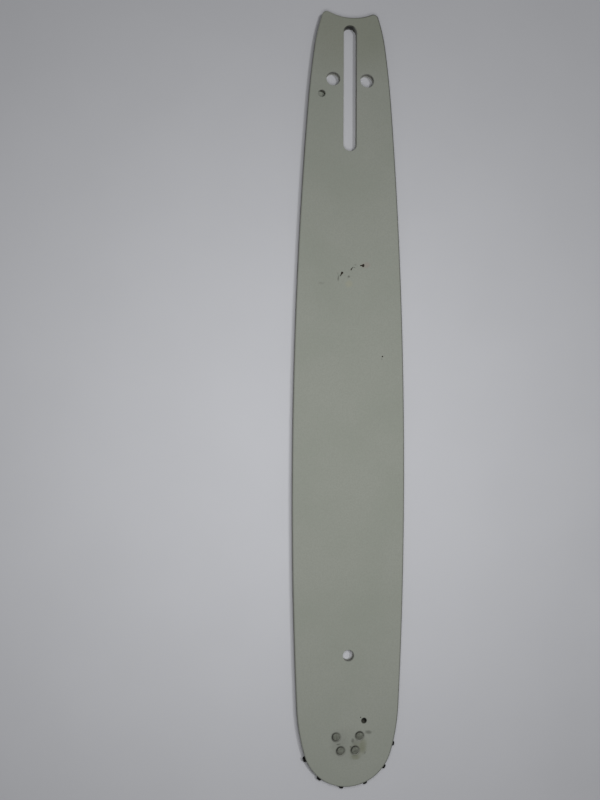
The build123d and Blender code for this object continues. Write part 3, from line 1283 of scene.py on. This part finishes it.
@dataclass
class GreasePlug:
    """The grease in the nose's grease hole, pushed up to one side."""

    bar_thickness: float
    hole: Hole
    finish: OilySteel
    top: float = 0.6  # below the face
    foot: float = 1.35
    hollow: float = 0.1
    tilt: float = 0.45
    way: complex = 1 - 1j  # the side that it is pushed up to
    black: tuple[float, float] = (0.5, 1.5)  # painted shadow of the hole's wall: at the middle, and more towards the low side
    rings: int = 8
    steps: int = 48

    def build(self) -> Object:
        """Build the grease: a plug as wide as its hole, with a hollow top that leans up to one side.

        Its top is z = -top - hollow (1 - (r / R)^2) + tilt (r / R) cos a, with the angle a from the side
        that it leans up to. It is painted dark on the other side, as the shadow of the hole's wall, by
        middle - growth (r / R) cos a.

        Returns:
            The piece.
        """
        reach = self.hole.radius
        radius = np.linspace(0, reach, self.rings)
        hollow = self.bar_thickness - self.top - self.hollow * (1 - (radius / reach) ** 2)
        foot = self.bar_thickness - self.foot
        profile = np.concatenate([np.stack([radius, hollow], axis=1), [[reach, foot], [0, foot]]])
        vertices, fans, quads = closed_lathe(profile, self.steps)
        way = self.way / abs(self.way) / reach
        lean = vertices[:, 0] * way.real + vertices[:, 1] * way.imag
        vertices[:, 2] += np.where(np.isclose(vertices[:, 2], foot), 0, self.tilt * lean)
        # Painted shadow: dark on the low side, where the hole's wall shades the grease
        middle, growth = self.black
        grime = np.clip(middle - growth * lean, 0, 1)
        vertices += [self.hole.centre.real, self.hole.centre.imag, 0]
        piece = new_piece("grease_plug", vertices, [fans, quads], [True, True], {"grime": grime})
        piece.data.materials.append(self.finish.material())
        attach(piece, BAR_BODY)
        return piece


@dataclass
class NoseBearing:
    """The turning parts of the nose, which keep their CAD shapes."""

    finishes: Mapping[Slot, Finish]

    def dress(self) -> None:
        """Give each kept CAD node the finish of its material slot."""
        for subpart in frame["record"]["subparts"]:
            finish = self.finishes.get(Slot(subpart["material_slot"]))
            if finish is None:
                continue
            materials = frame["nodes"][subpart["node"]].data.materials
            materials.clear()
            materials.append(finish.material())


@dataclass(frozen=True)
class Lamp:
    """A soft square lamp: where it hangs, what it points at, its side and its share of the light there."""

    name: str
    place: tuple[float, float, float]
    aim: tuple[float, float, float]
    side: float
    share: float
    mirrored: bool

    def hang(self) -> None:
        """Hang the lamp out of the camera's sight, with the power for its share of the light at its aim.

        A lamp of P watts gives P / (pi d)^2 of a plain level of one at d metres.
        """
        data = bpy.data.lights.new(self.name, "AREA")
        data.size = self.side * MM
        beam = Vector(self.aim) - Vector(self.place)
        data.energy = self.share * (math.pi * beam.length * MM) ** 2 / -beam.normalized().z
        lamp = bpy.data.objects.new(self.name, data)
        turned = beam.to_track_quat("-Z", "Y").to_matrix().to_4x4()
        lamp.matrix_world = Matrix.Translation(Vector(self.place) * MM) @ turned
        lamp.visible_camera = False
        lamp.visible_glossy = self.mirrored
        bpy.context.scene.collection.objects.link(lamp)


@dataclass
class Studio:
    """Paper floor, soft light and the camera, which looks down on the bar from over its left rail."""

    floor_finish: Paper
    floor_side: float = 3000.0
    floor_drop: float = 0.02
    eye: tuple[float, float, float] = (208.26, -82.5, 425.97)
    aim: tuple[float, float, float] = (194.26, -30.35, 4.3)
    roll: float = -0.338
    sensor: float = 36.0
    focal_share: float = 700 / 800  # of the frame's long side
    clip_start: float = 10.0
    sky: float = 0.16
    lamps: tuple[Lamp, ...] = (
        Lamp("low_softbox", (224, -35, 335), (224, -35, 0), side=200, share=0.7, mirrored=False),
        Lamp("window_key", (40, 660, 1500), (208, 0, 0), side=180, share=0.24, mirrored=True),
    )

    def build(self) -> None:
        """Lay the floor, hang the lamps, light the world and set up the camera."""
        self.lay_floor()
        for lamp in self.lamps:
            lamp.hang()
        scene = bpy.context.scene
        scene.world = self.world()
        scene.view_settings.view_transform = "Standard"
        scene.camera = self.camera()

    def lay_floor(self) -> None:
        """Lay the paper just below the bar's back face."""
        half, height = self.floor_side / 2, -self.floor_drop
        corners = np.array([[-half, -half], [half, -half], [half, half], [-half, half]])
        vertices = np.column_stack([corners, np.full(len(corners), height)])
        floor = new_piece("paper_floor", vertices, [np.arange(len(corners))[None]], [False])
        floor.data.materials.append(self.floor_finish.material())

    def world(self) -> World:
        """Make the sky: dim where it lights the scene, pale where it is seen or mirrored.

        Returns:
            The world.
        """
        world = bpy.data.worlds.new("studio_sky")
        world.use_nodes = True
        tree = world.node_tree
        levels = {"Value": seen_or_mirrored(tree), "To Min": self.sky, "To Max": self.floor_finish.backdrop}
        background = tree.nodes["Background"]
        background.inputs["Color"].default_value = (1, 1, 1, 1)
        tree.links.new(add_node(tree, "MapRange", levels).outputs[0], background.inputs["Strength"])
        return world

    def camera(self) -> Object:
        """Stand the camera at the eye, with the bar's nose down in the frame.

        Returns:
            The camera.
        """
        data = bpy.data.cameras.new("camera_over_left_rail")
        data.sensor_width = self.sensor
        data.lens = self.sensor * self.focal_share
        data.clip_start = self.clip_start * MM
        eye, aim = Vector(self.eye), Vector(self.aim)
        forward = (aim - eye).normalized()
        nose_way = (Vector((1, 0, 0)) - forward * forward.x).normalized()
        across = nose_way.cross(forward)
        roll = math.radians(self.roll)
        down = math.cos(roll) * nose_way - math.sin(roll) * across
        right = math.sin(roll) * nose_way + math.cos(roll) * across
        camera = bpy.data.objects.new("camera_over_left_rail", data)
        turned = Matrix((right, -down, -forward)).transposed().to_4x4()
        camera.matrix_world = Matrix.Translation(eye * MM) @ turned
        bpy.context.scene.collection.objects.link(camera)
        return camera


OIL_HOLE = Hole(4.2 - 17.8j, radius=2.2)
# Its wall is dark with grease and painted shade
GREASE_HOLE = Hole(388.0 + 9.83j, radius=1.5, rounding=0.12, grime=0.85, foot=1.0)
ROUND_HOLES = {  # dirt and painted shade of the edge, and where it has more
    "adjuster_hole_left": (0.05, 0j),
    "adjuster_hole_right": (0.05, 0j),
    "hanging_hole": (0.22, 0.12 + 0.3j),
}
FRONT_BLOTS = (
    # Smears round the crumbs ahead of the slot
    Blot(Stain.SOOT, 119.0, -6.9, 1.9, 0.6, 0.55),
    Blot(Stain.SOOT, 116.3, -7.4, 1.0, 0.7, 0.12),
    Blot(Stain.SOOT, 117.2, -5.6, 1.0, 0.45, 0.5, -28),
    Blot(Stain.SOOT, 122.3, -17.7, 0.8, 2.2, 0.16),
    Blot(Stain.CLAY, 122.3, -0.4, 2.6, 2.6, 0.3),
    Blot(Stain.SOOT, 118.0, -0.5, 0.8, 0.8, 0.55),
    Blot(Stain.SOOT, 111.9, 2.9, 0.35, 0.8, 0.55),
    Blot(Stain.SOOT, 110.6, 3.7, 0.5, 0.8, 0.25),
    Blot(Stain.RUST, 110.3, 10.4, 2.2, 3.0, 0.25),
    Blot(Stain.SOOT, 168.7, 20.2, 0.5, 0.5, 0.3),
    # Oil and dirt that have crept out of the nose bearing
    Blot(Stain.OIL, 403.0, 9.3, 5.0, 2.6, 0.35),
    Blot(Stain.OIL, 409.5, 4.4, 1.8, 3.4, 0.35),
    Blot(Stain.OIL, 404.8, 5.5, 5.5, 5.0, 0.25),
    Blot(Stain.SOOT, 394.9, 12.6, 1.2, 2.4, 0.5),
    Blot(Stain.SOOT, 399.6, 3.0, 1.6, 0.9, 0.45),
    Blot(Stain.SOOT, 400.9, 4.6, 1.9, 2.2, 0.16),
    Blot(Stain.SOOT, 401.3, -5.8, 0.6, 1.4, 0.5),
    Blot(Stain.SOOT, 403.3, 1.7, 0.7, 0.5, 0.5),
    Blot(Stain.SOOT, 407.2, 10.4, 1.0, 0.8, 0.25),
    Blot(Stain.SOOT, 400.5, -5.5, 8.5, 5.5, 0.1),
    Blot(Stain.SOOT, 402.5, 0.5, 11.0, 11.5, 0.09),
    Blot(Stain.SOOT, 395.0, -9.2, 0.6, 1.2, 0.3),
    # Oil soaked into the tail
    Blot(Stain.OIL, -42.0, 0.0, 36.0, 45.0, 0.2),
)
FRONT_CRUMBS = (
    Crumb(115.75, -4.75, 0.8, 0.78, 0.35, -35),
    Crumb(116.9, -5.4, 0.75, 0.36, 0.18, -28),
    Crumb(113.3, 1.05, 0.8, 0.36, 0.18, -24),
    Crumb(112.4, 1.75, 0.55, 0.26, 0.12, -48),
    Crumb(110.75, 8.5, 0.92, 0.9, 0.38),
    Crumb(110.75, 7.4, 0.45, 0.9, 0.22),
    Crumb(166.9, 20.8, 0.45, 0.45, 0.2),
    Crumb(386.0, 7.8, 0.35, 0.35, 0.12),
)
BACK_SHEET = BlastedSheet("blasted_phosphated_sheet_back", metallic=0.1, roughness=0.72, shine=0.3)
FRONT_SHEET = replace(BACK_SHEET, name="blasted_phosphated_sheet_front", blots=FRONT_BLOTS)
RIVET_STEEL = SetRivet("cold_set_rivet_steel", metallic=0.1, roughness=0.6, shine=0.3)
DIRT = DriedDirt("dried_sawdust_and_resin", metallic=0.0, roughness=0.85, shine=0.2)
FLOOR_PAPER = Paper("uncoated_paper", metallic=0.0, roughness=0.9)
CORE_STEEL = OilySteel(
    "oily_core_sheet_steel", metallic=0.3, roughness=0.5, clean="#85857d", oily="#6a6a62"
)
SPROCKET_STEEL = OilySteel(
    "blackened_hardened_steel", metallic=0.0, roughness=0.7, shine=0.12, clean="#0c0c0b", oily="#070706"
)
BEARING_STEEL = OilySteel(
    "greasy_bearing_steel", metallic=0.8, roughness=0.35, clean="#77776f", oily="#3b3a33", film_mm=2.5
)
GREASE = OilySteel(
    "black_grease", metallic=0.0, roughness=0.55, shine=0.1, clean="#3a3a34", oily="#20201c", film_mm=1.2
)


def through_holes(mounts: Mapping[str, Mapping]) -> list[Hole]:
    """Take the holes that go through all three sheets from the record's mounts.

    Args:
        mounts: The mounts by name.

    Returns:
        The stud slot, then the round holes.
    """
    slot = mounts["stud_slot"]["dims"]
    radius = slot["hole_r_mm"]
    run = slot["slot_length_mm"] / 2 - radius
    clean, heavy = -0.35, -1.6 - 0.45j  # below zero, so the nose end and the +Y side stay clean; the tail-end wall gets dirt and painted shade
    holes = [Hole(0j, radius, grime=clean, heavy=heavy, foot=0.92, run=run)]
    for name, (grime, heavy) in ROUND_HOLES.items():
        x, y, _ = mounts[name]["pos_m"]
        holes.append(Hole((x + 1j * y) / MM, mounts[name]["dims"]["r_mm"], grime=grime, heavy=heavy))
    return holes


def main() -> None:
    """Build the bar's pieces in order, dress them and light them."""
    logging.basicConfig(level=logging.INFO, format="%(name)s: %(message)s")
    record = frame["record"]
    joints = {joint["name"]: joint for joint in record["behaviour"]["joints"]}
    axis = joints["sprocket_spin"]["pos_m"][0] / MM
    mounts = {mount["name"]: mount for mount in record["mounts"]}
    low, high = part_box(Side.FRONT.value)
    bar_thickness, thickness = high.z / MM, (high.z - low.z) / MM

    through = through_holes(mounts)
    outline = BarOutline(axis, mounts["stud_slot"]["dims"]["slot_length_mm"] / 2)
    rivets = NoseRivets(axis, bar_thickness, RIVET_STEEL)
    plates = SidePlates(
        outline,
        [*through, OIL_HOLE, GREASE_HOLE, *rivets.seats()],
        {Side.FRONT: FRONT_SHEET, Side.BACK: BACK_SHEET},
        thickness,
        bar_thickness,
    )
    core_top, core_thickness = bar_thickness - thickness, bar_thickness - 2 * thickness
    core = CorePlate(outline, through, OIL_HOLE, CORE_STEEL, core_top, core_thickness)
    crumbs = DirtCrumbs(bar_thickness, FRONT_CRUMBS, DIRT)
    grease = GreasePlug(bar_thickness, GREASE_HOLE, GREASE)
    for piece in (*plates.build(), core.build(), rivets.build(), crumbs.build(), grease.build()):
        log.info("%s: %d faces", piece.name, len(piece.data.polygons))

    NoseBearing({Slot.SPROCKET: SPROCKET_STEEL, Slot.BEARING: BEARING_STEEL}).dress()
    log.info("sprocket, hub and rollers dressed")

    Studio(FLOOR_PAPER).build()


if __name__ == "__main__":
    main()
